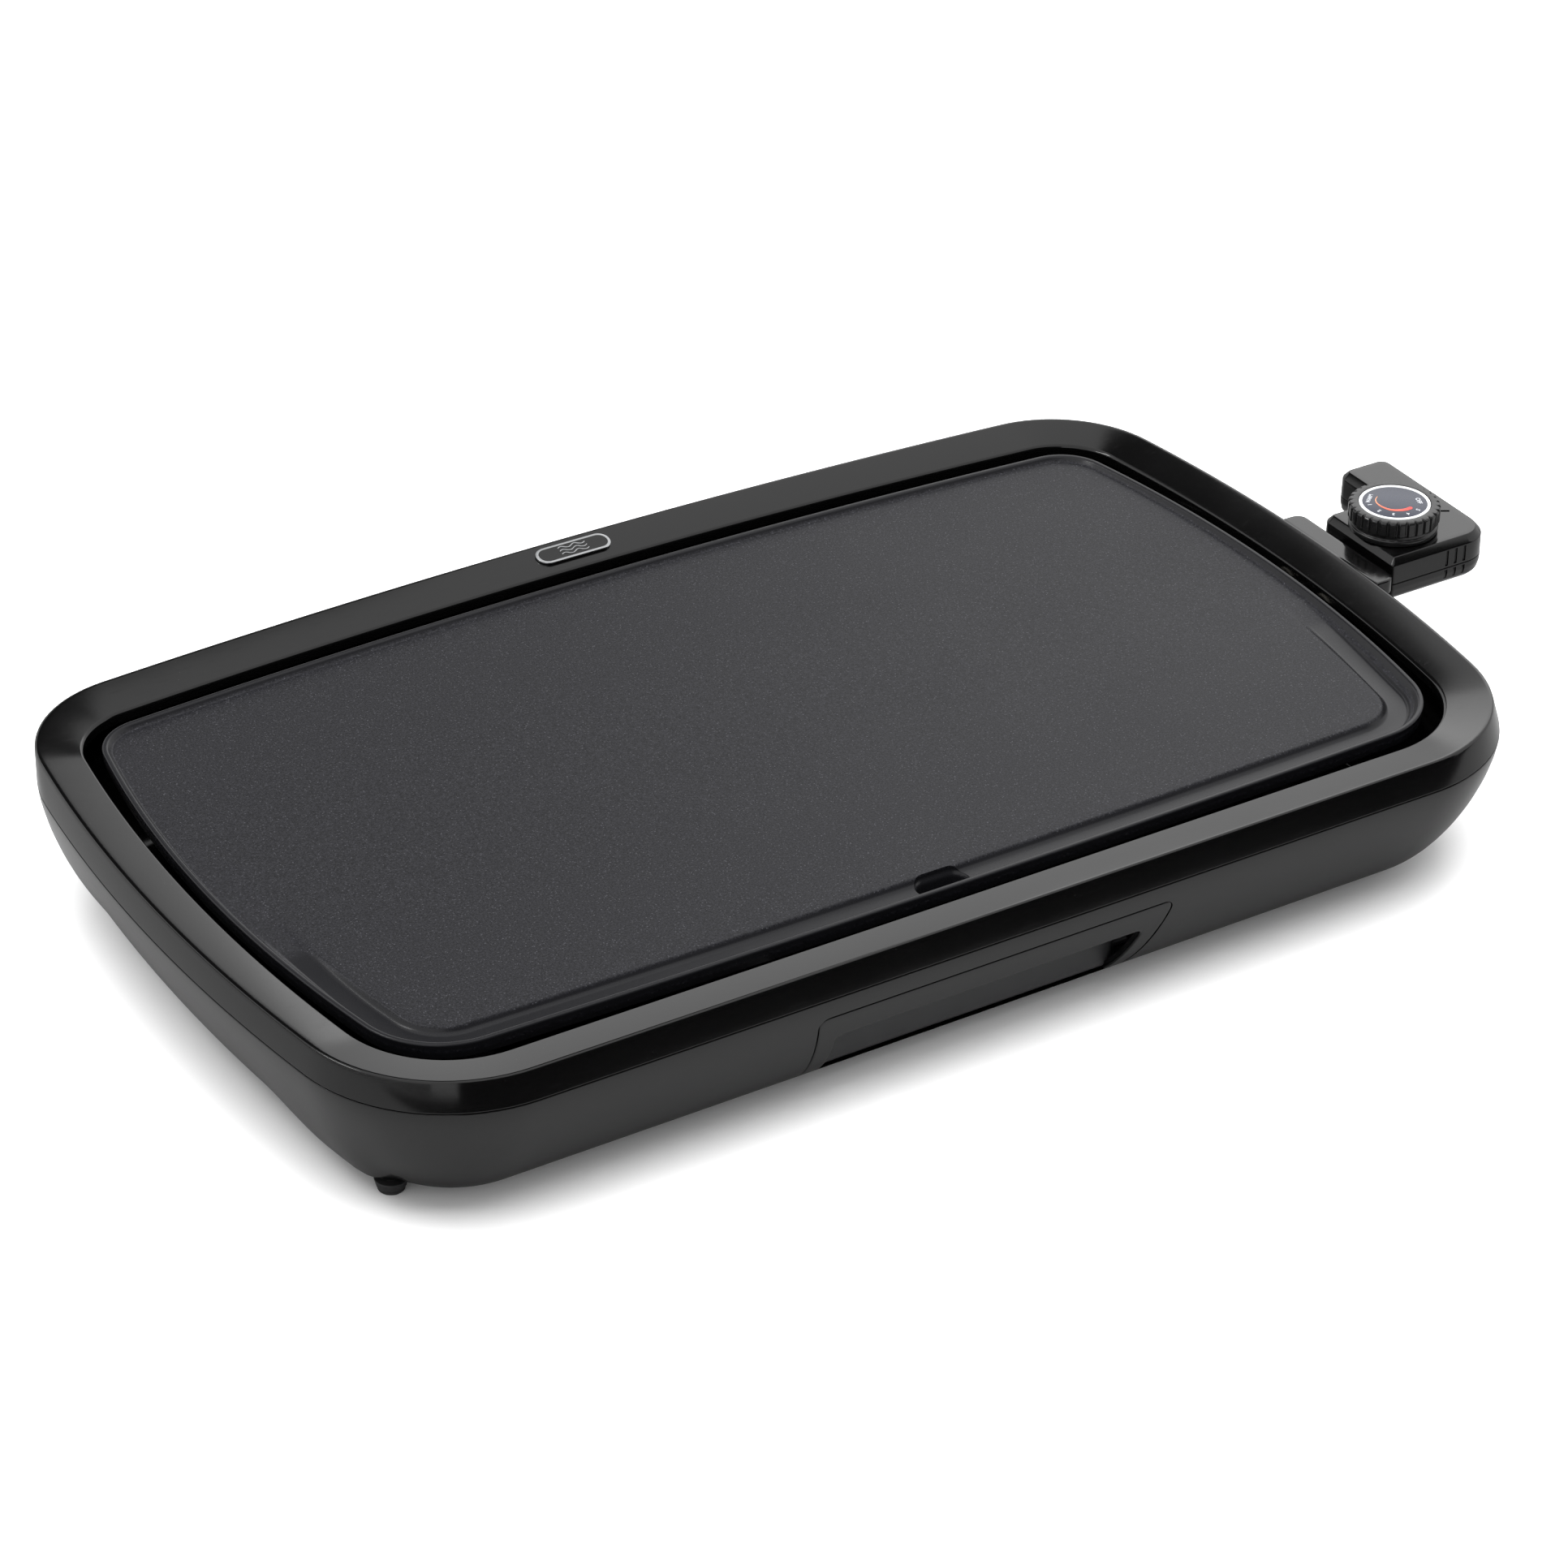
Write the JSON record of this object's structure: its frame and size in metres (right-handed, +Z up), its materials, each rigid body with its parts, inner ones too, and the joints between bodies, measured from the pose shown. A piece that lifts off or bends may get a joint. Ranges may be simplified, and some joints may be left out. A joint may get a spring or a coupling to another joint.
{
  "type": "electric griddle",
  "caption": "Wide rectangular tabletop electric griddle with a bowl-shaped gloss housing, non-stick plate, plug-in probe thermostat with a dial, and a slide-out drip tray.",
  "frame": {"origin": "on the ground plane, under the middle of the bounding box", "axes": "+X along the griddle towards the probe thermostat, -Y towards the drip tray (front), +Z up"},
  "size_m": [0.6672, 0.3666, 0.0928],
  "materials": {
    "gloss_black": "high gloss black moulding",
    "non_stick": "dark grey non-stick coating with fine speckle",
    "rubber": "matt black",
    "matte_black": "matt black",
    "dark_steel": "heat-darkened steel",
    "brass": "bare",
    "ceramic": "unglazed steatite",
    "white": "smooth white",
    "navy": "printed dark blue",
    "steel": "plated steel"
  },
  "bodies": {
    "housing": {"badge_plate": "steel", "base_shell": "gloss_black", "cooking_plate": "non_stick", "foot_back_left": "matte_black", "foot_back_right": "matte_black", "foot_front_left": "matte_black", "foot_front_right": "matte_black", "foot_pad_back_left": "rubber", "foot_pad_back_right": "rubber", "foot_pad_front_left": "rubber", "foot_pad_front_right": "rubber", "heat_shield": "steel", "heating_element": "dark_steel", "plate_post_back_left": "dark_steel", "plate_post_back_right": "dark_steel", "plate_post_front_left": "dark_steel", "plate_post_front_right": "dark_steel", "plate_screw_back_left": "steel", "plate_screw_back_right": "steel", "plate_screw_front_left": "steel", "plate_screw_front_right": "steel", "terminal_bushing_back": "ceramic", "terminal_bushing_front": "ceramic", "terminal_guard": "steel", "terminal_pin_back": "steel", "terminal_pin_front": "steel", "top_frame": "gloss_black", "tray_rail_left": "matte_black", "tray_rail_right": "matte_black"},
    "tray": {"tray_front": "gloss_black", "tray_pan": "matte_black"},
    "probe": {"probe_upper_case": "gloss_black", "probe_lower_case": "gloss_black", "case_screw_1": "steel", "case_screw_2": "steel", "case_screw_3": "steel", "sensor_rod": "steel", "contact_block": "ceramic", "contact_socket_front": "brass", "contact_socket_back": "brass", "switch_base": "ceramic", "contact_arm_fixed": "brass", "contact_arm_sprung": "brass", "spindle_bushing": "brass", "cord_gland": "rubber", "lead_front": "white", "lead_back": "white"},
    "follower": {"follower_pin": "ceramic"},
    "dial": {"dial_knob": "gloss_black", "dial_face": "navy", "dial_ring": "white", "dial_spindle": "steel"}
  },
  "joints": [
    {"name": "tray_slide", "type": "slide", "parent": "housing", "child": "tray", "axis": [0, -1, 0], "range_m": [0, 0.14]},
    {"name": "probe_pull", "type": "slide", "parent": "housing", "child": "probe", "axis": [1, 0, 0], "range_m": [0, 0.1]},
    {"name": "dial_turn", "type": "hinge", "parent": "probe", "child": "dial", "pos_m": [0.29368, -0.008, 0.085], "axis": [0, 0, -1], "range_deg": [0, 320]},
    {"name": "follower_travel", "type": "slide", "parent": "probe", "child": "follower", "axis": [0, 0, -1], "range_m": [0, 0.0012]}
  ],
  "couplings": [
    {"joint": "follower_travel", "follows": "dial_turn", "m_per_rad": 0.00021464}
  ]
}
